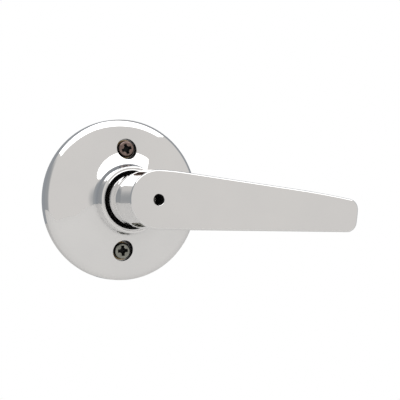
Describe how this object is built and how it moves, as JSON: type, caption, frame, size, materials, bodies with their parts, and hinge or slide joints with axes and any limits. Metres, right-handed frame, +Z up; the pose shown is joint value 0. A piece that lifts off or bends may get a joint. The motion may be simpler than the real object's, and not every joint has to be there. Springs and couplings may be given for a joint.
{
  "type": "door lever handle",
  "caption": "Door lever handle on a round rose: straight tapering arm, hub with a release hole, exposed through bolts, return spring works and a square spindle.",
  "frame": {"origin": "the spindle's axis where it meets the door's face", "axes": "+Z up; the arm points along +X; +Y goes into the door, so the lever stands out along -Y"},
  "size_m": [0.1205, 0.0968, 0.0666],
  "materials": {
    "polished_chrome": "mirror polished chrome plate",
    "zinc_plate": "bright zinc plated steel, slightly dull",
    "plain_steel": "plain machined steel, lightly oiled",
    "spring_steel": "drawn spring steel wire and strip",
    "dark_bronze": "dark oxidised bronze finish on steel",
    "washer_bronze": "dull yellow chromate on steel",
    "bearing_bronze": "sintered bearing bronze",
    "black_nylon": "moulded black nylon"
  },
  "bodies": {
    "chassis": {"rose": "polished_chrome", "mounting_plate": "zinc_plate", "rear_bearing": "bearing_bronze", "spring_housing": "zinc_plate", "housing_rivets": "plain_steel", "thrust_washer": "plain_steel", "spring_washer": "spring_steel", "neck_bush": "black_nylon", "through_bolts": "dark_bronze", "bolt_washers": "washer_bronze", "return_spring": "spring_steel"},
    "handle": {"lever": "polished_chrome", "drive_sleeve": "zinc_plate", "cam_plate": "plain_steel", "retaining_ring": "spring_steel", "spindle_insert": "plain_steel", "spindle": "zinc_plate", "release_spring": "spring_steel", "catch_spring": "spring_steel"},
    "release": {"release_rod": "plain_steel", "rod_clip": "spring_steel"},
    "catch": {"lever_catch": "plain_steel"}
  },
  "joints": [
    {"name": "lever_turn", "type": "hinge", "parent": "chassis", "child": "handle", "pos_m": [0, 0, 0], "axis": [0, 1, 0], "range_deg": [-45, 45], "stiffness_Nm_per_rad": 1.2, "springref_deg": -2.86, "deforming": ["return_spring"]},
    {"name": "release_push", "type": "slide", "parent": "handle", "child": "release", "axis": [0, 1, 0], "range_m": [0, 0.0045], "stiffness_N_per_m": 150, "springref_m": -0.003, "deforming": ["release_spring"]},
    {"name": "catch_press", "type": "slide", "parent": "handle", "child": "catch", "axis": [0, 0, 1], "range_m": [0, 0.0015], "stiffness_N_per_m": 600, "springref_m": -0.001, "deforming": ["catch_spring"]}
  ]
}
